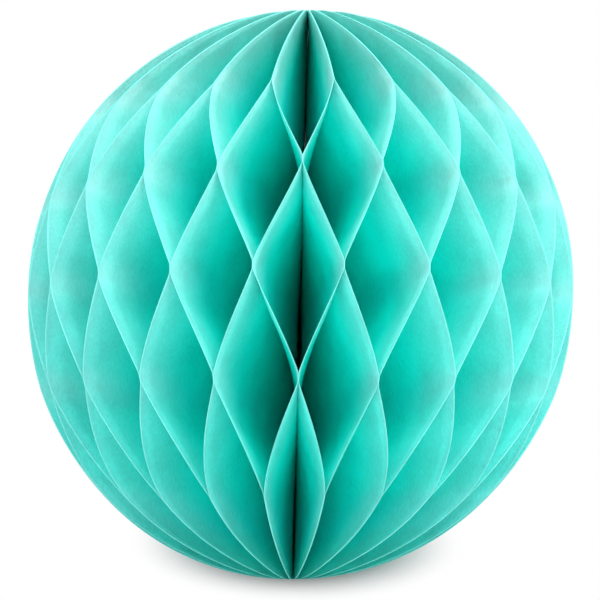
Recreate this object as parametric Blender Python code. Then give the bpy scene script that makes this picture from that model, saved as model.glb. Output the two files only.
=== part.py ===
"""Honeycomb paper ball, opened out from its flat pad.

The pad is a stack of paper half discs. Each leaf is glued to the next along a few narrow
stripes that lead from the straight edge to the cut edge, rising a little on the way, and the
stripes on its two faces are staggered. Turned through a full circle about the straight edge,
the spine, the leaves spread into a ball: between two stripes a leaf swings from one neighbour
to the other, which opens the cells. Two card covers close the ball, back to back.

Units are metres, +Z runs along the spine, the origin is the middle of the ball, the covers lie
at +Y and the side opposite to them, at -Y, is the front.
"""

import math

import bmesh
import bpy
import numpy as np

# The ball
BALL_DIAMETER = 0.192
BALL_HEIGHT = 0.200
LEAF_COUNT = 44

# Paper and card
PAPER_THICKNESS = 0.0002
CARD_THICKNESS = 0.0005
SEAM_CLEARANCE = 0.0003
CARD_SETBACK = 0.001

# Glue stripes. Pitch, width and the height of stripe 0 are measured along the spine, where the
# stripes start, from the middle of the ball. Even stripes join a leaf to one neighbour and odd
# stripes to the other.
STRIPE_PITCH = 0.0350
STRIPE_OFFSET = -0.0164
STRIPE_WIDTH = 0.0030
STRIPE_SLOPE = math.radians(8.8)
UNGLUED_END = 0.0080

# Width of a leaf where it ends beside the spine, at each pole
SPINE_END_WIDTH = 0.0015

# How the opened ball has settled: its front leaves have drawn together towards the upper and
# the lower pole, and those at its sides have moved a little towards the back
TOP_DRAW = 1.10
BOTTOM_DRAW = 0.55
SIDE_SPREAD = math.radians(2.2)

# Facets
ROWS_PER_SWING = 5
ROWS_PER_END = 4
COVER_ARC_STEPS = 26
CREASE_SHADING_ANGLE = math.radians(35)

# Colours and roughness
PAPER_COLOUR = (0.010, 0.610, 0.500)
CARD_COLOUR = (0.020, 0.560, 0.465)
PAPER_ROUGHNESS = 0.85
CARD_ROUGHNESS = 0.70

# Values that follow from the sizes above
EQUATOR_RADIUS = BALL_DIAMETER / 2
POLE_HEIGHT = BALL_HEIGHT / 2
COLUMN_ANGLE = 2 * math.pi / LEAF_COUNT
LEAF_CLEARANCE = (SEAM_CLEARANCE + PAPER_THICKNESS) / 2
COVER_CLEARANCE = SEAM_CLEARANCE / 2 + CARD_THICKNESS + SEAM_CLEARANCE + PAPER_THICKNESS / 2
SEAM_DIRECTION = math.radians(90)
FRONT_DIRECTION = SEAM_DIRECTION - math.pi


def clear_scene():
    for item in list(bpy.data.objects):
        bpy.data.objects.remove(item, do_unlink=True)


def make_material(name, colour, roughness):
    material = bpy.data.materials.new(name)
    material.use_nodes = True
    shader = material.node_tree.nodes["Principled BSDF"]
    shader.inputs["Base Color"].default_value = (*colour, 1.0)
    shader.inputs["Roughness"].default_value = roughness
    shader.inputs["Metallic"].default_value = 0.0
    material.diffuse_color = (*colour, 1.0)
    return material


def height_kept(radius):
    """Share of the flat pad's height that is left at a distance from the spine.

    Paper doesn't stretch, so a swing that goes further sideways rises less: over one pitch the
    stripe keeps its width, and the rest is the upright side of a right triangle whose long side
    is the flat paper and whose other side is the sideways step.
    """
    swing_length = STRIPE_PITCH - STRIPE_WIDTH
    sideways = np.clip(radius * COLUMN_ANGLE / swing_length, 0.0, 0.95)
    return (STRIPE_WIDTH + swing_length * np.sqrt(1 - sideways**2)) / STRIPE_PITCH


def outline():
    """Radius, height and height on the flat pad of points along the cut edge, from pole to pole.

    The opened ball's outline is an ellipse. A point of it at angle a has radius R cos a and
    height H sin a, and it came from the height H sin a / height_kept on the flat pad.
    """
    angle = np.linspace(-math.pi / 2, math.pi / 2, 1441)
    radius = EQUATOR_RADIUS * np.cos(angle)
    height = POLE_HEIGHT * np.sin(angle)
    return radius, height, height / height_kept(radius)


def rise_to_edge(start):
    """Height on the flat pad where a line beside the stripes, from a start on the spine, ends."""
    radius, _, flat_height = outline()
    starts = flat_height - math.tan(STRIPE_SLOPE) * radius
    climbing = starts > starts[0]
    return np.interp(start, starts[climbing], flat_height[climbing])


def stripe_heights():
    """(number, height at the spine) of each glue stripe, from the lowest up."""
    limit = POLE_HEIGHT - UNGLUED_END
    most = math.ceil(BALL_HEIGHT / STRIPE_PITCH)
    stripes = []
    for number in range(-most, most + 1):
        height = STRIPE_OFFSET + number * STRIPE_PITCH
        if height > -limit and rise_to_edge(height) < limit:
            stripes.append((number, height))
    return stripes


def towards(number):
    """+1 where a stripe holds the leaf to its even side, -1 where it holds it to its odd side."""
    return 1 if number % 2 == 0 else -1


def free_end_rows(start, side, spine_radius):
    """Rows from the last stripe to the pole, where the two leaves of the pair stay side by side."""
    end_radius = spine_radius + SPINE_END_WIDTH
    end_height = POLE_HEIGHT * math.sqrt(1 - (end_radius / EQUATOR_RADIUS) ** 2)
    end_height = math.copysign(end_height / float(height_kept(end_radius)), start)
    part = np.sin(np.arange(1, ROWS_PER_END + 1) / ROWS_PER_END * math.pi / 2)
    at_edge = rise_to_edge(start)
    return [(start + (end_height - start) * f, at_edge + (end_height - at_edge) * f, side) for f in part]


def leaf_rows(spine_radius):
    """(height at the spine, height at the cut edge, swing) of each row, on the flat pad.

    A row lies along the paper from the spine to the cut edge, beside the stripes. The swing
    runs from -1 to +1. It is constant across a stripe, and between two stripes it goes
    straight from one side to the other.
    """
    stripes = stripe_heights()
    half = STRIPE_WIDTH / 2
    starts = []
    for (number, height), (_, above) in zip(stripes, stripes[1:]):
        side = towards(number)
        start, end = height + half, above - half
        starts += [(height - half, side), (start, side)]
        for step in range(1, ROWS_PER_SWING):
            t = step / ROWS_PER_SWING
            starts.append((start + (end - start) * t, side * (1 - 2 * t)))
    last, top = stripes[-1]
    starts += [(top - half, towards(last)), (top + half, towards(last))]
    rows = [(start, rise_to_edge(start), swing) for start, swing in starts]
    first, bottom = stripes[0]
    below = free_end_rows(bottom - half, towards(first), spine_radius)
    beyond = free_end_rows(top + half, towards(last), spine_radius)
    return np.array(below[::-1] + rows + beyond)


def column_azimuth(column, flat_height, radius, spine_radius):
    """Azimuth from the front, at a height on the flat pad and a radius, of a column of stripes.

    An even ball has its columns one column angle apart. With a the even azimuth and u the
    height's share of the pole's, the settled column loses the draw, TOP_DRAW u^5 above the
    middle and BOTTOM_DRAW u^9 below it, times cos(a / 2)^4, of a, and gains SIDE_SPREAD
    (1 - u^2) sin(a)^4. Both fade out towards the spine.
    """
    even = column * COLUMN_ANGLE - math.pi
    share = np.clip(flat_height / POLE_HEIGHT, -1.0, 1.0)
    off_spine = 1 - spine_radius / radius
    draw = np.where(share > 0, TOP_DRAW * share**5, BOTTOM_DRAW * np.abs(share) ** 9)
    draw = np.minimum(draw * math.cos(even / 2) ** 4, 1.0)
    spread = math.copysign(SIDE_SPREAD * math.sin(even) ** 4, even) * (1 - share**2)
    return even + (spread - even * draw) * off_spine


def make_leaf_mesh(index):
    """One leaf, between the column of stripes with its own number and the next, front on +X.

    At radius r the leaf may swing from its low clearance / r past the low column to its high
    clearance / r short of the high one. Both meet where it touches the spine. The first and
    the last leaf stand a little further off the seam, to leave room for the covers.
    """
    low_clearance = COVER_CLEARANCE if index == 0 else LEAF_CLEARANCE
    high_clearance = COVER_CLEARANCE if index == LEAF_COUNT - 1 else LEAF_CLEARANCE
    spine_radius = (low_clearance + high_clearance) / COLUMN_ANGLE
    rows = leaf_rows(spine_radius)
    flat_height, swing = rows[:, :2], rows[:, 2:] * towards(index)
    edge_radius, edge_height, edge_flat_height = outline()
    radius = np.full(flat_height.shape, spine_radius)
    radius[:, 1] = np.interp(flat_height[:, 1], edge_flat_height, edge_radius)
    height = flat_height * height_kept(spine_radius)
    height[:, 1] = np.interp(flat_height[:, 1], edge_flat_height, edge_height)
    low = column_azimuth(index, flat_height, radius, spine_radius) + low_clearance / radius
    high = column_azimuth(index + 1, flat_height, radius, spine_radius) - high_clearance / radius
    azimuth = low + (high - low) * (1 + swing) / 2
    points = np.stack([radius * np.cos(azimuth), radius * np.sin(azimuth), height], axis=2)

    sheet = bmesh.new()
    grid = [[sheet.verts.new(point) for point in row] for row in points]
    for lower, upper in zip(grid, grid[1:]):
        sheet.faces.new((lower[0], lower[1], upper[1], upper[0]))
    mesh = bpy.data.meshes.new(f"leaf_sheet_{index + 1:02d}")
    sheet.to_mesh(mesh)
    sheet.free()
    mesh.shade_smooth()
    mesh.set_sharp_from_angle(angle=CREASE_SHADING_ANGLE)
    return mesh


def make_cover_mesh(name, side):
    """A card half disc beside the seam plane: the ball's own outline, set back a little."""
    inner = (LEAF_CLEARANCE + COVER_CLEARANCE) / COLUMN_ANGLE
    radius, pole = EQUATOR_RADIUS - CARD_SETBACK, POLE_HEIGHT - CARD_SETBACK
    reach = math.acos((inner + SPINE_END_WIDTH) / radius)
    face_at = side * SEAM_CLEARANCE / 2
    corners = [(inner, face_at, -pole * math.sin(reach))]
    for step in range(COVER_ARC_STEPS + 1):
        angle = reach * (2 * step / COVER_ARC_STEPS - 1)
        corners.append((radius * math.cos(angle), face_at, pole * math.sin(angle)))
    corners.append((inner, face_at, pole * math.sin(reach)))

    card = bmesh.new()
    face = card.faces.new([card.verts.new(point) for point in corners])
    grown = bmesh.ops.extrude_face_region(card, geom=[face])["geom"]
    moved = [item for item in grown if isinstance(item, bmesh.types.BMVert)]
    bmesh.ops.translate(card, verts=moved, vec=(0.0, side * CARD_THICKNESS, 0.0))
    bmesh.ops.recalc_face_normals(card, faces=card.faces)
    mesh = bpy.data.meshes.new(name)
    card.to_mesh(mesh)
    card.free()
    return mesh


def place(name, mesh, material, parent, angle):
    item = bpy.data.objects.new(name, mesh)
    bpy.context.scene.collection.objects.link(item)
    mesh.materials.append(material)
    item.parent = parent
    item.rotation_euler.z = angle
    return item


def add_paper_thickness(leaf):
    modifier = leaf.modifiers.new("Paper thickness", "SOLIDIFY")
    modifier.thickness = PAPER_THICKNESS
    modifier.offset = 0.0
    modifier.use_even_offset = True


def build_leaves(spine):
    paper = make_material("turquoise_paper", PAPER_COLOUR, PAPER_ROUGHNESS)
    for index in range(LEAF_COUNT):
        name = f"leaf_{index + 1:02d}"
        leaf = place(name, make_leaf_mesh(index), paper, spine, FRONT_DIRECTION)
        add_paper_thickness(leaf)


def build_covers(spine):
    card = make_material("turquoise_card", CARD_COLOUR, CARD_ROUGHNESS)
    for name, side in (("cover_left", 1), ("cover_right", -1)):
        place(name, make_cover_mesh(name, side), card, spine, SEAM_DIRECTION)


def main():
    clear_scene()
    spine = bpy.data.objects.new("spine_axis", None)
    bpy.context.scene.collection.objects.link(spine)
    build_leaves(spine)
    build_covers(spine)


main()
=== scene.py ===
"""Honeycomb paper ball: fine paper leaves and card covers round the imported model, in a white studio."""

import math

import bpy
import numpy as np
from mathutils import Matrix, Vector


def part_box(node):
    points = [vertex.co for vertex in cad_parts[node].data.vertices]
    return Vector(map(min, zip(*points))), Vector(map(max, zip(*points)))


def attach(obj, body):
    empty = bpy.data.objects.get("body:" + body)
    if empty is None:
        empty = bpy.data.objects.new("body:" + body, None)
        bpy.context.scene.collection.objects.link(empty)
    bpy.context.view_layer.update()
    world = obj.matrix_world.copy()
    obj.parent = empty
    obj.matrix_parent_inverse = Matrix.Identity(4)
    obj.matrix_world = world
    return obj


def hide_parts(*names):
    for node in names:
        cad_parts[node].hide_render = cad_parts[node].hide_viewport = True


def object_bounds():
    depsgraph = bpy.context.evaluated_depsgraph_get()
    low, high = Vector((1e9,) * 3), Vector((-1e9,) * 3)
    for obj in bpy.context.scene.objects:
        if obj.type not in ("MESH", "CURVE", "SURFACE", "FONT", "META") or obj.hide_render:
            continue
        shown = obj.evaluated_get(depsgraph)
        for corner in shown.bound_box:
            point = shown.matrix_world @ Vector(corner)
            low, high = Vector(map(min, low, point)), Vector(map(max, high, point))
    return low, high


bl_info = {
    "name": "Honeycomb Paper Ball",
    "version": (1, 0, 0),
    "blender": (4, 5, 0),
    "location": "View3D > Sidebar > Honeycomb",
    "description": "Builds the leaves, the covers and the studio of a honeycomb paper ball",
    "category": "Object",
}

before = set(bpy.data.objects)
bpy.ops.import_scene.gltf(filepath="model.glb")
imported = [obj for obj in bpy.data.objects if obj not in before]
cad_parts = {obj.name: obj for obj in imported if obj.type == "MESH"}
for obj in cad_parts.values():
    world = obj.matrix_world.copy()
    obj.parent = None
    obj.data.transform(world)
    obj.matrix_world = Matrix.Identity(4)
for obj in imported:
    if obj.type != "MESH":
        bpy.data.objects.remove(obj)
CAD_BOX = [list(corner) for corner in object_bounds()]

BODY = "root"
LEAF_NODES = sorted(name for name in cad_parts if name.startswith("leaf_"))
COVER_NODES = sorted(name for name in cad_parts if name.startswith("cover_"))
EQUATOR_RADIUS = (CAD_BOX[1][0] - CAD_BOX[0][0]) / 2
POLE_HEIGHT = (CAD_BOX[1][2] - CAD_BOX[0][2]) / 2
COLUMN_ANGLE = 2 * math.pi / len(LEAF_NODES)
SEAM_DIRECTION = math.radians(90)
FRONT_DIRECTION = SEAM_DIRECTION + math.pi
COVER_REACH = max(abs(corner.x) for name in COVER_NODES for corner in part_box(name))
COVER_SETBACK = EQUATOR_RADIUS - max(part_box(name)[1].y for name in COVER_NODES)

# Side of the photograph in pixels, and width of the camera's sensor in millimetres
PHOTO_SIDE = 600
SENSOR_WIDTH = 36.0

# Steps of the table that holds the ball's outline
OUTLINE_STEPS = 1440
# Share of the mesh's rows that crowd towards the poles, while the rest lie evenly
POLE_CROWDING = 0.55
# Steepest swing of a leaf, as a share of the flat length between two stripes
STEEPEST_SWING = 0.95
# Share of the cut edge's line that has its full tone, before it fades
RIM_CORE = 0.4
# How deep the paper's fibres lie
FIBRE_DEPTH = 0.0002
# Half the side of the square floor
FLOOR_HALF = 3.0


class LeafSettings(bpy.types.PropertyGroup):
    """Sizes of the paper leaves and of the glue stripes that hold them."""

    stripe_pitch: bpy.props.FloatProperty(
        name="Stripe pitch", description="Distance between neighbouring glue stripes along the spine",
        default=0.0350, unit="LENGTH")
    stripe_offset: bpy.props.FloatProperty(
        name="Stripe offset", description="Height at which stripe 0 starts at the spine",
        default=-0.0164, unit="LENGTH")
    stripe_slope: bpy.props.FloatProperty(
        name="Stripe slope", description="Rise of the stripes from the spine to the cut edge",
        default=math.radians(8.8), unit="ROTATION")
    stripe_width: bpy.props.FloatProperty(
        name="Stripe width", description="Height of one glue stripe", default=0.0030, unit="LENGTH")
    unglued_end: bpy.props.FloatProperty(
        name="Unglued end", description="Length at each pole that holds no glue stripe",
        default=0.0080, unit="LENGTH")
    pole_width: bpy.props.FloatProperty(
        name="Width at the pole", description="Width of a leaf where it ends beside the spine",
        default=0.0006, unit="LENGTH")
    thickness: bpy.props.FloatProperty(
        name="Paper thickness", description="Thickness of one leaf", default=0.00014, unit="LENGTH")
    glue_gap: bpy.props.FloatProperty(
        name="Glue gap", description="Room that the glue takes between two leaves",
        default=0.00002, unit="LENGTH")
    crease_ease: bpy.props.FloatProperty(
        name="Crease ease", description="How softly the cut edge leaves a stripe: 0 is a sharp crease",
        default=0.08, min=0.0, max=1.0, subtype="FACTOR")
    crease_depth: bpy.props.FloatProperty(
        name="Crease depth", description="Distance from the cut edge over which the creases fade out",
        default=0.020, unit="LENGTH")
    stripe_strays: bpy.props.FloatVectorProperty(
        name="Stripe strays", description="How far each stripe lies off its even place at the front, upwards",
        size=5, default=(0.0012, -0.0006, 0.0, 0.0012, -0.0005), unit="LENGTH")
    lean: bpy.props.FloatProperty(
        name="Lean", description="Rise of the stripes towards +X, as a share of the distance",
        default=0.0194)
    spine_lean: bpy.props.FloatProperty(
        name="Spine lean", description="How far the spine leans towards +X, as a share of the height",
        default=0.009)
    top_draw: bpy.props.FloatProperty(
        name="Top draw", description="How strongly the front leaves draw together at the upper pole",
        default=1.1, min=0.0, max=2.0, subtype="FACTOR")
    bottom_draw: bpy.props.FloatProperty(
        name="Bottom draw", description="How strongly the front leaves draw together at the lower pole",
        default=0.55, min=0.0, max=2.0, subtype="FACTOR")
    side_spread: bpy.props.FloatProperty(
        name="Side spread", description="How far the leaves at the sides move towards the back",
        default=math.radians(2.2), unit="ROTATION")
    glue_reach: bpy.props.FloatProperty(
        name="Glue reach", description="Distance from a stripe over which the doubled paper fades to single",
        default=0.0040, unit="LENGTH")
    column_wander: bpy.props.FloatProperty(
        name="Column wander", description="How far a column of stripes strays round the ball",
        default=math.radians(0.25), unit="ROTATION")
    stripe_wander: bpy.props.FloatProperty(
        name="Stripe wander", description="How far a stripe strays up or down", default=0.0004,
        unit="LENGTH")
    rows: bpy.props.IntProperty(
        name="Rows", description="Steps of the mesh along the spine", default=200, min=20)
    steps: bpy.props.IntProperty(
        name="Steps", description="Steps of the mesh from the spine to the cut edge", default=14, min=2)
    seed: bpy.props.IntProperty(
        name="Seed", description="Picks the small irregularities", default=11)


class CoverSettings(bpy.types.PropertyGroup):
    """Sizes of the two card covers."""

    seam: bpy.props.FloatProperty(
        name="Seam", description="Width of the gap between the two covers, which stand back to back",
        default=0.00012, unit="LENGTH")
    corner: bpy.props.FloatProperty(
        name="Corner radius", description="Rounding of the card's cut edge", default=0.00008,
        unit="LENGTH")
    pole_width: bpy.props.FloatProperty(
        name="Width at the pole", description="Width of a cover where it ends beside the spine",
        default=0.0015, unit="LENGTH")
    rings: bpy.props.IntProperty(
        name="Rings", description="Steps of the mesh from the spine to the rim", default=24, min=4)
    arc_steps: bpy.props.IntProperty(
        name="Arc steps", description="Steps of the mesh from pole to pole", default=120, min=24)


class PaperSettings(bpy.types.PropertyGroup):
    """Colours of the paper and of the card."""

    body_colour: bpy.props.FloatVectorProperty(
        name="Paper", description="Colour of the paper away from its edge", size=3, min=0, max=1,
        default=(0.004, 0.99, 0.94), subtype="COLOR")
    # Painted light: the paler tone beside the cut edge stands for white direct light and sheen on the outer
    # paper, and it is paler at the top than at the bottom as painted light from above.
    lit_edge_colour_top: bpy.props.FloatVectorProperty(
        name="Upper paper edge", description="Colour beside the cut edge at the upper pole",
        size=3, min=0, max=1, default=(0.50, 0.91, 0.88), subtype="COLOR")
    lit_edge_colour_bottom: bpy.props.FloatVectorProperty(
        name="Lower paper edge", description="Colour beside the cut edge at the lower pole",
        size=3, min=0, max=1, default=(0.13, 0.90, 0.85), subtype="COLOR")
    edge_width: bpy.props.FloatProperty(
        name="Edge fade", description="Distance from the cut edge over which the paler tone fades",
        default=0.031, unit="LENGTH")
    rim_colour: bpy.props.FloatVectorProperty(
        name="Cut edge", description="Colour of the fuzzy cut edge itself", size=3, min=0, max=1,
        default=(0.24, 0.86, 0.80), subtype="COLOR")
    rim_width: bpy.props.FloatProperty(
        name="Cut edge width", description="Width of the bright line along the cut edge",
        default=0.0006, unit="LENGTH")
    translucency: bpy.props.FloatProperty(
        name="Translucency", description="Share of light that scatters through the paper",
        default=0.58, min=0.0, max=1.0, subtype="FACTOR")
    glue_density: bpy.props.FloatProperty(
        name="Glue density", description="Share of its translucency that the doubled paper loses",
        default=0.48, min=0.0, max=1.0, subtype="FACTOR")
    card_colour: bpy.props.FloatVectorProperty(
        name="Card", description="Colour of the two covers", size=3, min=0, max=1,
        default=(0.010, 0.62, 0.52), subtype="COLOR")


class StageSettings(bpy.types.PropertyGroup):
    """Camera, floor and light."""

    camera_distance: bpy.props.FloatProperty(
        name="Camera distance", description="From the camera to the ball's centre", default=0.619,
        unit="LENGTH")
    camera_azimuth: bpy.props.FloatProperty(
        name="Camera azimuth", description="Angle of the camera round from the front towards +X",
        default=math.radians(0.26), unit="ROTATION")
    camera_elevation: bpy.props.FloatProperty(
        name="Camera elevation", description="Angle of the camera above the ball's equator",
        default=math.radians(-6.17), unit="ROTATION")
    camera_roll: bpy.props.FloatProperty(
        name="Camera roll", description="Turn of the camera about its line of sight",
        default=math.radians(1.08), unit="ROTATION")
    radius_pixels: bpy.props.FloatProperty(
        name="Ball radius in the photo", description="Equator radius in pixels", default=270.5)
    centre_x: bpy.props.FloatProperty(
        name="Ball centre X in the photo", description="In pixels from the left", default=300.8)
    centre_y: bpy.props.FloatProperty(
        name="Ball centre Y in the photo", description="In pixels from the top", default=294.3)
    floor_tilt: bpy.props.FloatProperty(
        name="Floor tilt", description="How far the floor leans towards the camera, as the ball is tipped",
        default=math.radians(17.7), unit="ROTATION")
    # The floor's slight warm tint is painted light: it cancels the turquoise light that the ball throws onto
    # the floor.
    floor_colour: bpy.props.FloatVectorProperty(
        name="Floor", description="Colour of the floor where it holds the shadow", size=3, min=0, max=1,
        default=(0.73, 0.69, 0.69), subtype="COLOR")
    shadow_setback: bpy.props.FloatProperty(
        name="Shadow setback", description="How far behind the contact the shadow's area is centred",
        default=0.028, unit="LENGTH")
    shadow_narrowing: bpy.props.FloatProperty(
        name="Shadow narrowing", description="Depth of the shadow's area over its width", default=1.06)
    shadow_core: bpy.props.FloatProperty(
        name="Shadow core", description="Radius within which the floor shows the whole shadow",
        default=0.034, unit="LENGTH")
    shadow_end: bpy.props.FloatProperty(
        name="Shadow end", description="Radius at which the floor has turned to plain white",
        default=0.068, unit="LENGTH")
    world_strength: bpy.props.FloatProperty(
        name="Sky", description="Strength of the even light from all sides", default=1.27)
    key_power: bpy.props.FloatProperty(
        name="Key lamp", description="Power of the large soft lamp", default=11.5)
    key_size: bpy.props.FloatProperty(
        name="Key lamp size", description="Width of the large soft lamp", default=0.9, unit="LENGTH")
    key_place: bpy.props.FloatVectorProperty(
        name="Key lamp place", description="Where the large soft lamp stands, facing the ball", size=3,
        default=(0.5, -0.95, 1.0), subtype="TRANSLATION")


def new_object(name, data):
    """A new object of the scene that holds a mesh, a lamp or a camera."""
    item = bpy.data.objects.new(name, data)
    bpy.context.scene.collection.objects.link(item)
    return item


def height_kept(radius, leaf):
    """Share of the flat height left at a radius: unstretched paper that swings sideways rises less.

    Over one pitch the stripe keeps its width, and the rest is the root of 1 minus the square of
    the sideways step over the flat length.
    """
    swing_length = leaf.stripe_pitch - leaf.stripe_width
    sideways = np.clip(radius * COLUMN_ANGLE / swing_length, 0.0, STEEPEST_SWING)
    return (leaf.stripe_width + swing_length * np.sqrt(1 - sideways**2)) / leaf.stripe_pitch


def outline(leaf):
    """Radius and height on the flat pad of points along the cut edge, from pole to pole.

    The opened ball's outline is an ellipse. Its point at angle a has radius R cos a and height
    H sin a, and came from the height H sin a / height_kept on the flat pad.
    """
    angle = np.linspace(-math.pi / 2, math.pi / 2, OUTLINE_STEPS + 1)
    radius = EQUATOR_RADIUS * np.cos(angle)
    return radius, POLE_HEIGHT * np.sin(angle) / height_kept(radius, leaf)


def rise_to_edge(start, leaf):
    """Height on the flat pad where a line beside the stripes, from a start on the spine, ends."""
    radius, flat = outline(leaf)
    starts = flat - math.tan(leaf.stripe_slope) * radius
    climbing = starts > starts[0]
    return np.interp(start, starts[climbing], flat[climbing])


def stripe_numbers_and_heights(leaf):
    """Number and height at the spine of each glue stripe, from the lowest up."""
    most = math.ceil(2 * POLE_HEIGHT / leaf.stripe_pitch)
    number = np.arange(-most, most + 1)
    height = leaf.stripe_offset + number * leaf.stripe_pitch
    limit = POLE_HEIGHT - leaf.unglued_end
    kept = (height > -limit) & (rise_to_edge(height, leaf) < limit)
    return number[kept], height[kept]


def swing_at(starts, heights, sides, ease, leaf):
    """Which side the leaf swings to, for heights at the spine and an ease, from -1 to +1.

    The swing is constant across a stripe, and past the last one. Between two stripes it runs
    from one side to the other in a line, blended by the ease with a smooth step.
    """
    half = leaf.stripe_width / 2
    knots = np.stack([heights - half, heights + half], axis=1).ravel()
    order = np.repeat(np.arange(len(heights)), 2)
    phase = np.interp(starts, knots, order)
    lower = np.minimum(np.floor(phase).astype(int), len(heights) - 1)
    part = (phase - lower)[:, None]
    eased = (1 - ease) * part + ease * (3 * part**2 - 2 * part**3)
    return sides[lower][:, None] * (1 - 2 * eased)


def column_azimuth(column, flat_heights, spine_share, leaf):
    """Azimuth from the front of a column of stripes, at a height on the flat pad.

    An even ball has its columns one column angle apart. With a the even azimuth and u the
    height's share of the pole's, the settled column loses the draw, top draw u^5 above the
    middle and bottom draw u^9 below it, times cos(a / 2)^4, of a, and gains the side spread
    times (1 - u^2) sin(a)^4. Both fade out towards the spine.
    """
    even = column * COLUMN_ANGLE - math.pi
    share = np.clip(flat_heights / POLE_HEIGHT, -1, 1)
    draw = np.where(share > 0, leaf.top_draw * share**5, leaf.bottom_draw * np.abs(share) ** 9)
    draw = np.minimum(draw * math.cos(even / 2) ** 4, 1)
    spread = math.copysign(leaf.side_spread * math.sin(even) ** 4, even) * (1 - share**2)
    return even + (spread - even * draw) * (1 - spine_share)


def spine_shift(height, radius, leaf):
    """Sideways shift of a point, because the spine leans inside the even outline."""
    return leaf.spine_lean * height * (1 - radius / EQUATOR_RADIUS)


def grid_mesh(name, points, uv):
    """A mesh of quads through a grid of points, with the grid's own UV map."""
    rows, columns = points.shape[:2]
    index = np.arange(rows * columns).reshape(rows, columns)
    quads = np.stack([index[:-1, :-1], index[:-1, 1:], index[1:, 1:], index[1:, :-1]], axis=-1)
    quads = quads.reshape(-1, 4)
    mesh = bpy.data.meshes.new(name)
    mesh.vertices.add(rows * columns)
    mesh.vertices.foreach_set("co", points.reshape(-1).astype(np.float32))
    mesh.loops.add(quads.size)
    mesh.loops.foreach_set("vertex_index", quads.reshape(-1).astype(np.int32))
    mesh.polygons.add(len(quads))
    mesh.polygons.foreach_set("loop_start", np.arange(0, quads.size, 4, dtype=np.int32))
    mesh.update(calc_edges=True)
    layer = mesh.uv_layers.new(name="paper")
    layer.uv.foreach_set("vector", uv.reshape(-1, 2)[quads.reshape(-1)].reshape(-1).astype(np.float32))
    mesh.shade_smooth()
    mesh.validate()
    return mesh


def leaf_rows(heights, spine_radius, leaf):
    """Flat height at the spine, flat height at the cut edge and radius there, for each row.

    From the lowest stripe to the highest a row lies beside the stripes. Past them the rows
    level out.
    """
    end_radius = spine_radius + leaf.pole_width
    end = POLE_HEIGHT * math.sqrt(1 - (end_radius / EQUATOR_RADIUS) ** 2)
    end /= float(height_kept(end_radius, leaf))
    even = np.linspace(-1, 1, leaf.rows + 1)
    at_edge = end * (POLE_CROWDING * np.sin(even * math.pi / 2) + (1 - POLE_CROWDING) * even)
    table_radius, table_height = outline(leaf)
    edge_radius = np.interp(at_edge, table_height, table_radius)
    lowest, highest = heights[0] - leaf.stripe_width / 2, heights[-1] + leaf.stripe_width / 2
    first, last = rise_to_edge(np.array([lowest, highest]), leaf)
    starts = at_edge - math.tan(leaf.stripe_slope) * edge_radius
    starts = np.where(at_edge < first, np.interp(at_edge, (-end, first), (-end, lowest)), starts)
    starts = np.where(at_edge > last, np.interp(at_edge, (last, end), (highest, end)), starts)
    return starts, at_edge, edge_radius


def doubled_paper(starts, heights, leaf):
    """How far the paper of each row counts as doubled by its glued neighbour.

    It is 1 across a stripe, and at a distance d from one it is e to the power of minus
    (d / glue reach)^2.
    """
    off_stripe = np.abs(starts[:, None] - heights).min(axis=1) - leaf.stripe_width / 2
    return np.exp(-(np.maximum(off_stripe, 0) / leaf.glue_reach) ** 2)


def leaf_grid(number, leaf, column_turns, stripe_shifts):
    """Points of one leaf on a grid, its UV map in metres, and how far its paper is doubled.

    Each row of the grid lies along the paper beside the stripes, from a start on the spine to
    the cut edge. For each row two straight lines lead there: one a low clearance past one column
    of stripes, one a high clearance short of the next. The leaf swings between them, creased
    near the cut edge and smoothly further in, and keeps height_kept of its flat height. U is
    the distance from the cut edge and V the flat height.
    """
    plain = (leaf.glue_gap + leaf.thickness) / 2
    beside_cover = COVER_REACH + leaf.glue_gap + leaf.thickness / 2
    low_clearance = beside_cover if number == 0 else plain
    high_clearance = beside_cover if number == len(LEAF_NODES) - 1 else plain
    spine_radius = (low_clearance + high_clearance) / COLUMN_ANGLE

    numbers, heights = stripe_numbers_and_heights(leaf)
    sides = np.where((numbers + number) % 2 == 0, 1.0, -1.0)
    column = np.where(sides > 0, number + 1, number)
    towards_front = math.cos((number - len(LEAF_NODES) / 2) * COLUMN_ANGLE)
    heights = heights + stripe_shifts[column, np.arange(len(heights))]
    heights += np.resize(leaf.stripe_strays, len(heights)) * max(towards_front, 0) ** 4
    starts, at_edge, edge_radius = leaf_rows(heights, spine_radius, leaf)

    at_spine = SEAM_DIRECTION + number * COLUMN_ANGLE + low_clearance / spine_radius
    spine = spine_radius * np.array([math.cos(at_spine), math.sin(at_spine)])[:, None, None]
    across = np.linspace(0, 1, leaf.steps + 1)
    lines = []
    for side, clearance in ((0, low_clearance), (1, -high_clearance)):
        azimuth = column_azimuth(number + side, at_edge, spine_radius / edge_radius, leaf)
        azimuth += column_turns[number + side] + clearance / edge_radius + FRONT_DIRECTION
        edge = edge_radius * np.stack([np.cos(azimuth), np.sin(azimuth)])
        lines.append(spine + (edge[:, :, None] - spine) * across)
    radius = spine_radius + (edge_radius - spine_radius)[:, None] * across
    ease = leaf.crease_ease + (edge_radius[:, None] - radius) / leaf.crease_depth
    swing = swing_at(starts, heights, sides, np.minimum(ease, 1), leaf)
    x, y = lines[0] + (lines[1] - lines[0]) * (1 + swing) / 2
    flat = starts[:, None] + (at_edge - starts)[:, None] * across
    z = flat * height_kept(radius, leaf) + leaf.lean * x
    x = x + spine_shift(z, radius, leaf)
    uv = np.stack([edge_radius[:, None] - radius, flat], axis=-1)
    doubled = np.repeat(doubled_paper(starts, heights, leaf), leaf.steps + 1)
    return np.stack([x, y, z], axis=-1), uv, doubled


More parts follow.
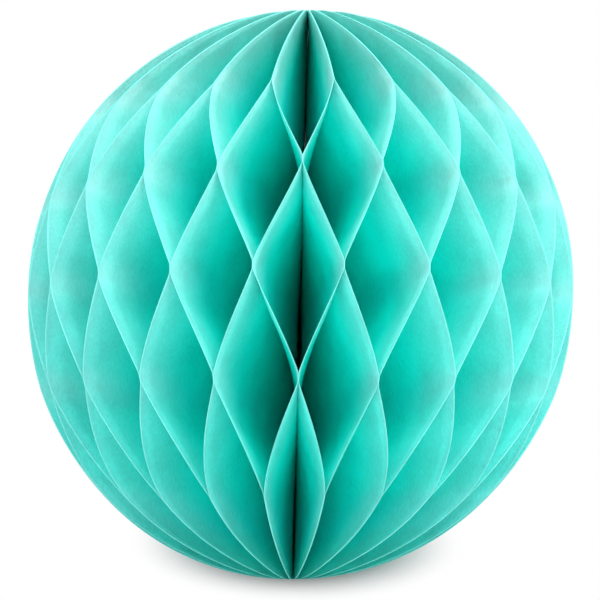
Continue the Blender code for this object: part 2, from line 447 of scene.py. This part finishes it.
def cover_grid(leaf, cover):
    """Points of one cover's middle plane on a grid, and its UV map in metres.

    A half ellipse in the seam plane, set back from the ball's outline: ring by ring from the
    spine to the rim, and along each ring from the lower to the upper pole. U is the distance
    from the rim and V runs along it.
    """
    inner = (COVER_REACH + leaf.glue_gap + leaf.thickness) / COLUMN_ANGLE
    radius, pole = EQUATOR_RADIUS - COVER_SETBACK, POLE_HEIGHT - COVER_SETBACK
    reach = math.acos((inner + cover.pole_width) / radius)
    along = np.linspace(-1, 1, cover.arc_steps + 1)[None, :] * reach
    ring = np.linspace(0, 1, cover.rings + 1)[:, None]
    rim_radius = radius * np.cos(along)
    y = inner + (rim_radius - inner) * ring
    z = np.broadcast_to(pole * np.sin(along), y.shape)
    uv = np.stack([rim_radius - y, np.broadcast_to(along * radius, y.shape)], axis=-1)
    return np.stack([spine_shift(z, y, leaf), y, z], axis=-1), uv


def add_node(tree, kind, location, **settings):
    """A new node at a place in the tree, with its settings."""
    node = tree.nodes.new(kind)
    node.location = location
    for name, value in settings.items():
        setattr(node, name, value)
    return node


def feed(tree, socket, value):
    """Link another socket into a socket, or else set a plain value on it."""
    if isinstance(value, bpy.types.NodeSocket):
        tree.links.new(value, socket)
    else:
        socket.default_value = value


def worked_out(tree, operation, location, *values):
    """Result of one step of arithmetic on sockets and numbers."""
    node = add_node(tree, "ShaderNodeMath", location, operation=operation)
    for socket, value in zip(node.inputs, values):
        feed(tree, socket, value)
    return node.outputs["Value"]


def mixed_colour(tree, mask, first, second, location):
    """The first colour where the mask is 0 and the second where it is 1."""
    node = add_node(tree, "ShaderNodeMix", location, data_type="RGBA")
    feed(tree, node.inputs["Factor"], mask)
    for name, colour in (("A", first), ("B", second)):
        plain = not isinstance(colour, bpy.types.NodeSocket)
        feed(tree, node.inputs[name], (*colour, 1) if plain else colour)
    return node.outputs["Result"]


def paper_grain_group():
    """Node group: the cloudy, fibrous look of uncoated paper.

    Two noises, one of soft clouds and one of stretched fibres, make Tone, around 1, and the
    fibres alone make Height.
    """
    tree = bpy.data.node_groups.new("Paper grain", "ShaderNodeTree")
    for name, default in (("Cloud scale", 90.0), ("Fibre scale", 1500.0), ("Strength", 0.55)):
        socket = tree.interface.new_socket(name, in_out="INPUT", socket_type="NodeSocketFloat")
        socket.default_value = default
    for name in ("Tone", "Height"):
        tree.interface.new_socket(name, in_out="OUTPUT", socket_type="NodeSocketFloat")
    given = add_node(tree, "NodeGroupInput", (-900, 0))
    place = add_node(tree, "ShaderNodeTexCoord", (-900, -250))
    stretch = add_node(tree, "ShaderNodeMapping", (-700, -250))
    stretch.inputs["Scale"].default_value = (1.0, 1.0, 0.35)
    clouds = add_node(tree, "ShaderNodeTexNoise", (-450, 120))
    clouds.inputs["Detail"].default_value = 3.0
    fibres = add_node(tree, "ShaderNodeTexNoise", (-450, -200))
    fibres.inputs["Detail"].default_value = 4.0
    fibres.inputs["Roughness"].default_value = 0.65
    blend = add_node(tree, "ShaderNodeMix", (-220, 60), data_type="FLOAT")
    blend.inputs["Factor"].default_value = 0.6
    centred = worked_out(tree, "SUBTRACT", (-40, 60), blend.outputs["Result"], 0.5)
    scaled = worked_out(tree, "MULTIPLY", (130, 60), centred, given.outputs["Strength"])
    tone = worked_out(tree, "ADD", (300, 60), scaled, 1.0)
    out = add_node(tree, "NodeGroupOutput", (500, 0))
    link = tree.links.new
    link(place.outputs["Object"], clouds.inputs["Vector"])
    link(place.outputs["Object"], stretch.inputs["Vector"])
    link(stretch.outputs["Vector"], fibres.inputs["Vector"])
    link(given.outputs["Cloud scale"], clouds.inputs["Scale"])
    link(given.outputs["Fibre scale"], fibres.inputs["Scale"])
    link(clouds.outputs["Fac"], blend.inputs["A"])
    link(fibres.outputs["Fac"], blend.inputs["B"])
    link(tone, out.inputs["Tone"])
    link(fibres.outputs["Fac"], out.inputs["Height"])
    return tree


def toned_colour(tree, colour_socket, grain, location):
    """The colour multiplied by the grain's tone."""
    tone = add_node(tree, "ShaderNodeVectorMath", location, operation="SCALE")
    tree.links.new(colour_socket, tone.inputs[0])
    tree.links.new(grain.outputs["Tone"], tone.inputs["Scale"])
    return tone.outputs["Vector"]


def fibre_bump(tree, grain, strength, location):
    """Normal of a sheet whose fibres stand up a little."""
    bump = add_node(tree, "ShaderNodeBump", location)
    bump.inputs["Strength"].default_value = strength
    bump.inputs["Distance"].default_value = FIBRE_DEPTH
    tree.links.new(grain.outputs["Height"], bump.inputs["Height"])
    return bump.outputs["Normal"]


def near_edge(tree, distance, start, end, location):
    """Mask by the distance from a cut edge: 1 up to the start, smoothly down to 0 at the end."""
    mask = add_node(tree, "ShaderNodeMapRange", location, interpolation_type="SMOOTHERSTEP")
    mask.inputs["From Min"].default_value = start
    mask.inputs["From Max"].default_value = end
    mask.inputs["To Min"].default_value = 1.0
    mask.inputs["To Max"].default_value = 0.0
    tree.links.new(distance, mask.inputs["Value"])
    return mask.outputs["Result"]


def paper_material(paper, grain_group):
    """Matt translucent paper with clouds and fibres, paler towards its cut edge as painted direct light and
    sheen, and above all at the top as painted light from above. The fuzzy cut edge itself lets no light
    through, and glued paper less than single."""
    material = bpy.data.materials.new("turquoise paper")
    material.use_nodes = True
    tree = material.node_tree
    shader = tree.nodes["Principled BSDF"]
    shader.location = (300, 100)
    out = tree.nodes["Material Output"]
    out.location = (800, 0)
    place = add_node(tree, "ShaderNodeUVMap", (-1100, 200), uv_map="paper")
    split = add_node(tree, "ShaderNodeSeparateXYZ", (-900, 200))
    from_edge, height = split.outputs["X"], split.outputs["Y"]
    rise = add_node(tree, "ShaderNodeMapRange", (-900, -50))
    rise.inputs["From Min"].default_value = -POLE_HEIGHT
    rise.inputs["From Max"].default_value = POLE_HEIGHT
    grain = add_node(tree, "ShaderNodeGroup", (-450, -150), node_tree=grain_group)
    glued = add_node(tree, "ShaderNodeAttribute", (-300, 700), attribute_name="glued")
    through = add_node(tree, "ShaderNodeBsdfTranslucent", (300, -450))
    mixed = add_node(tree, "ShaderNodeMixShader", (600, 0))
    link = tree.links.new
    link(place.outputs["UV"], split.inputs["Vector"])
    link(height, rise.inputs["Value"])

    # Painted light: the edge tone turns paler with height as light from above, and fades in beside the cut
    # edge as painted direct light and sheen.
    edge = mixed_colour(
        tree, rise.outputs["Result"], paper.lit_edge_colour_bottom, paper.lit_edge_colour_top, (-700, -50))
    lit_edge_fade = near_edge(tree, from_edge, 0.0, paper.edge_width, (-700, 200))
    colour = mixed_colour(tree, lit_edge_fade, paper.body_colour, edge, (-450, 200))
    line = near_edge(tree, from_edge, paper.rim_width * RIM_CORE, paper.rim_width, (-700, 450))
    rimmed = mixed_colour(tree, line, colour, paper.rim_colour, (-280, 400))
    finished = toned_colour(tree, rimmed, grain, (-100, 200))
    doubled = worked_out(tree, "MULTIPLY", (-100, 700), glued.outputs["Fac"], paper.glue_density)
    dense = worked_out(tree, "MAXIMUM", (100, 500), doubled, line)
    sheer = worked_out(
        tree, "MULTIPLY_ADD", (300, 300), dense, -paper.translucency, paper.translucency)

    link(finished, shader.inputs["Base Color"])
    link(fibre_bump(tree, grain, 0.15, (-100, -250)), shader.inputs["Normal"])
    link(finished, through.inputs["Color"])
    link(sheer, mixed.inputs["Fac"])
    link(shader.outputs["BSDF"], mixed.inputs[1])
    link(through.outputs["BSDF"], mixed.inputs[2])
    link(mixed.outputs["Shader"], out.inputs["Surface"])
    shader.inputs["Roughness"].default_value = 0.9
    shader.inputs["Specular IOR Level"].default_value = 0.25
    return material


def card_material(paper, grain_group):
    """Stiff matt card in the paper's colour, with a coarser grain."""
    material = bpy.data.materials.new("turquoise card")
    material.use_nodes = True
    tree = material.node_tree
    shader = tree.nodes["Principled BSDF"]
    base = add_node(tree, "ShaderNodeRGB", (-500, 200))
    base.outputs["Color"].default_value = (*paper.card_colour, 1)
    grain = add_node(tree, "ShaderNodeGroup", (-500, -100), node_tree=grain_group)
    grain.inputs["Cloud scale"].default_value = 60.0
    grain.inputs["Fibre scale"].default_value = 900.0
    grain.inputs["Strength"].default_value = 0.10
    finished = toned_colour(tree, base.outputs["Color"], grain, (-200, 200))
    tree.links.new(finished, shader.inputs["Base Color"])
    tree.links.new(fibre_bump(tree, grain, 0.2, (-200, -200)), shader.inputs["Normal"])
    shader.inputs["Roughness"].default_value = 0.75
    shader.inputs["Specular IOR Level"].default_value = 0.35
    return material


def grain_group():
    """The shared grain group, built once."""
    return bpy.data.node_groups.get("Paper grain") or paper_grain_group()


class HONEYCOMB_OT_leaves(bpy.types.Operator):
    """Build the fine paper leaves that stand for the model's leaves"""

    bl_idname = "honeycomb.leaves"
    bl_label = "Paper leaves"

    def execute(self, context):
        leaf = context.scene.honeycomb_leaves
        material = paper_material(context.scene.honeycomb_paper, grain_group())
        chance = np.random.default_rng(leaf.seed)
        columns = len(LEAF_NODES) + 1
        turns = chance.normal(0, leaf.column_wander, columns)
        turns[0] = turns[-1] = 0
        shifts = chance.normal(0, leaf.stripe_wander, (columns, len(stripe_numbers_and_heights(leaf)[0])))
        for number, node in enumerate(LEAF_NODES):
            points, uv, doubled = leaf_grid(number, leaf, turns, shifts)
            mesh = grid_mesh(f"paper_{node}", points, uv)
            glued = mesh.attributes.new("glued", "FLOAT", "POINT")
            glued.data.foreach_set("value", doubled.astype(np.float32))
            piece = new_object(f"paper_{node}", mesh)
            piece.data.materials.append(material)
            body = piece.modifiers.new("Paper thickness", "SOLIDIFY")
            body.thickness = leaf.thickness
            body.offset = 0.0
            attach(piece, BODY)
            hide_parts(node)
        return {"FINISHED"}


class HONEYCOMB_OT_covers(bpy.types.Operator):
    """Build the two card covers, back to back behind the ball"""

    bl_idname = "honeycomb.covers"
    bl_label = "Card covers"

    def execute(self, context):
        cover = context.scene.honeycomb_covers
        material = card_material(context.scene.honeycomb_paper, grain_group())
        thickness = COVER_REACH - cover.seam / 2
        for node in COVER_NODES:
            low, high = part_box(node)
            side = 1 if low.x + high.x > 0 else -1
            points, uv = cover_grid(context.scene.honeycomb_leaves, cover)
            points[..., 0] += side * (cover.seam + thickness) / 2
            piece = new_object(f"card_{node}", grid_mesh(f"card_{node}", points, uv))
            piece.data.materials.append(material)
            body = piece.modifiers.new("Card thickness", "SOLIDIFY")
            body.thickness = thickness
            body.offset = 0.0
            edge = piece.modifiers.new("Cut edge", "BEVEL")
            edge.width = cover.corner
            edge.segments = 2
            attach(piece, BODY)
            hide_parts(node)
        return {"FINISHED"}


def floor_material(stage):
    """White floor that holds the ball's shadow, turns to plain white further out, and can't hide
    the ball from a camera below it."""
    material = bpy.data.materials.new("white floor")
    material.use_nodes = True
    tree = material.node_tree
    tree.nodes.clear()
    out = add_node(tree, "ShaderNodeOutputMaterial", (700, 0))
    place = add_node(tree, "ShaderNodeTexCoord", (-700, 0))
    centred = add_node(tree, "ShaderNodeMapping", (-600, 0))
    centred.inputs["Location"].default_value = (0, -stage.shadow_setback, 0)
    centred.inputs["Scale"].default_value = (stage.shadow_narrowing, 1, 1)
    length = add_node(tree, "ShaderNodeVectorMath", (-450, 0), operation="LENGTH")
    reach = add_node(tree, "ShaderNodeMapRange", (-300, 0), interpolation_type="SMOOTHSTEP")
    reach.inputs["From Min"].default_value = stage.shadow_core
    reach.inputs["From Max"].default_value = stage.shadow_end
    lit = add_node(tree, "ShaderNodeBsdfDiffuse", (-100, 150))
    # Warm tint painted against the ball's turquoise light on the floor.
    lit.inputs["Color"].default_value = (*stage.floor_colour, 1)
    glow = add_node(tree, "ShaderNodeEmission", (-100, 0))
    rays = add_node(tree, "ShaderNodeLightPath", (-300, -200))
    white = add_node(tree, "ShaderNodeMixShader", (150, 50))
    side = add_node(tree, "ShaderNodeNewGeometry", (150, -200))
    clear = add_node(tree, "ShaderNodeBsdfTransparent", (300, -100))
    sided = add_node(tree, "ShaderNodeMixShader", (500, 0))
    link = tree.links.new
    link(place.outputs["Object"], centred.inputs["Vector"])
    link(centred.outputs["Vector"], length.inputs[0])
    link(length.outputs["Value"], reach.inputs["Value"])
    seen_reach = worked_out(
        tree, "MULTIPLY", (-100, -150), reach.outputs["Result"], rays.outputs["Is Camera Ray"])
    link(seen_reach, white.inputs["Fac"])
    link(lit.outputs["BSDF"], white.inputs[1])
    link(glow.outputs["Emission"], white.inputs[2])
    link(side.outputs["Backfacing"], sided.inputs["Fac"])
    link(white.outputs["Shader"], sided.inputs[1])
    link(clear.outputs["BSDF"], sided.inputs[2])
    link(sided.outputs["Shader"], out.inputs["Surface"])
    return material


def floor_touch(tilt):
    """Where a floor that is tilted about X touches the ball's outline from below.

    The lowest point of the ellipse with half axes R and H against a floor whose normal leans by
    t lies at a distance of the root of (R sin t) squared plus (H cos t) squared.
    """
    distance = math.hypot(EQUATOR_RADIUS * math.sin(tilt), POLE_HEIGHT * math.cos(tilt))
    return Vector((0, EQUATOR_RADIUS**2 * math.sin(tilt), -(POLE_HEIGHT**2) * math.cos(tilt))) / distance


def build_floor(stage):
    """Large square floor that touches the ball from below, tilted as the ball is tipped."""
    corners = [(FLOOR_HALF * x, FLOOR_HALF * y, 0) for x, y in ((-1, -1), (1, -1), (1, 1), (-1, 1))]
    mesh = bpy.data.meshes.new("floor")
    mesh.from_pydata(corners, [], [(0, 1, 2, 3)])
    floor = new_object("floor", mesh)
    floor.location = floor_touch(stage.floor_tilt)
    floor.rotation_euler.x = stage.floor_tilt
    mesh.materials.append(floor_material(stage))


def build_world(stage):
    """Even white sky: plain white to the camera, at the set strength as a light."""
    world = bpy.data.worlds.new("white studio")
    world.use_nodes = True
    tree = world.node_tree
    sky = tree.nodes["Background"]
    sky.inputs["Color"].default_value = (1, 1, 1, 1)
    sky.inputs["Strength"].default_value = stage.world_strength
    seen = add_node(tree, "ShaderNodeBackground", (0, -200))
    seen.inputs["Color"].default_value = (1, 1, 1, 1)
    rays = add_node(tree, "ShaderNodeLightPath", (-200, 200))
    mixed = add_node(tree, "ShaderNodeMixShader", (250, 0))
    tree.links.new(rays.outputs["Is Camera Ray"], mixed.inputs["Fac"])
    tree.links.new(sky.outputs["Background"], mixed.inputs[1])
    tree.links.new(seen.outputs["Background"], mixed.inputs[2])
    tree.links.new(mixed.outputs["Shader"], tree.nodes["World Output"].inputs["Surface"])
    bpy.context.scene.world = world


def build_lamp(stage):
    """Large soft lamp that faces the ball's middle."""
    data = bpy.data.lights.new("key", "AREA")
    data.shape = "DISK"
    data.size = stage.key_size
    data.energy = stage.key_power
    lamp = new_object("key", data)
    lamp.location = stage.key_place
    lamp.rotation_mode = "QUATERNION"
    lamp.rotation_quaternion = Vector(stage.key_place).to_track_quat("Z", "Y")


def build_camera(stage):
    """Camera at the photograph's angle, with the ball's centre and radius on their pixels."""
    data = bpy.data.cameras.new("camera")
    focal_pixels = stage.radius_pixels * stage.camera_distance / EQUATOR_RADIUS
    data.sensor_width = SENSOR_WIDTH
    data.lens = SENSOR_WIDTH * focal_pixels / PHOTO_SIDE
    data.shift_x = (PHOTO_SIDE / 2 - stage.centre_x) / PHOTO_SIDE
    data.shift_y = (stage.centre_y - PHOTO_SIDE / 2) / PHOTO_SIDE
    camera = new_object("camera", data)
    turn, tilt = stage.camera_azimuth, stage.camera_elevation
    back = Vector((math.sin(turn) * math.cos(tilt), -math.cos(turn) * math.cos(tilt), math.sin(tilt)))
    aim = back.to_track_quat("Z", "Y").to_matrix().to_4x4() @ Matrix.Rotation(stage.camera_roll, 4, "Z")
    camera.matrix_world = Matrix.Translation(back * stage.camera_distance) @ aim
    bpy.context.scene.camera = camera


class HONEYCOMB_OT_stage(bpy.types.Operator):
    """Set up the white floor, the soft light and the camera"""

    bl_idname = "honeycomb.stage"
    bl_label = "Studio"

    def execute(self, context):
        stage = context.scene.honeycomb_stage
        context.scene.view_settings.view_transform = "Standard"
        build_floor(stage)
        build_world(stage)
        build_lamp(stage)
        build_camera(stage)
        return {"FINISHED"}


class HONEYCOMB_PT_panel(bpy.types.Panel):
    """The ball's sizes and colours, and the steps that build it"""

    bl_label = "Honeycomb ball"
    bl_idname = "HONEYCOMB_PT_panel"
    bl_space_type = "VIEW_3D"
    bl_region_type = "UI"
    bl_category = "Honeycomb"

    def draw(self, context):
        box = self.layout.box()
        for name in PaperSettings.__annotations__:
            box.prop(context.scene.honeycomb_paper, name)
        for settings, operator in (
            (context.scene.honeycomb_leaves, HONEYCOMB_OT_leaves),
            (context.scene.honeycomb_covers, HONEYCOMB_OT_covers),
            (context.scene.honeycomb_stage, HONEYCOMB_OT_stage),
        ):
            box = self.layout.box()
            for name in settings.__annotations__:
                box.prop(settings, name)
            box.operator(operator.bl_idname)


SETTINGS = {
    "honeycomb_leaves": LeafSettings,
    "honeycomb_covers": CoverSettings,
    "honeycomb_paper": PaperSettings,
    "honeycomb_stage": StageSettings,
}
OPERATORS = (HONEYCOMB_OT_leaves, HONEYCOMB_OT_covers, HONEYCOMB_OT_stage)


def register():
    """Register the classes and hang the settings on the scene."""
    for kind in (*SETTINGS.values(), *OPERATORS, HONEYCOMB_PT_panel):
        bpy.utils.register_class(kind)
    for name, kind in SETTINGS.items():
        setattr(bpy.types.Scene, name, bpy.props.PointerProperty(type=kind))


def unregister():
    """Take the settings and the classes away again."""
    for name in SETTINGS:
        delattr(bpy.types.Scene, name)
    for kind in (HONEYCOMB_PT_panel, *reversed(OPERATORS), *SETTINGS.values()):
        bpy.utils.unregister_class(kind)


def main():
    """Build the ball and the studio."""
    register()
    bpy.ops.honeycomb.leaves()
    bpy.ops.honeycomb.covers()
    bpy.ops.honeycomb.stage()


if __name__ == "__main__":
    main()
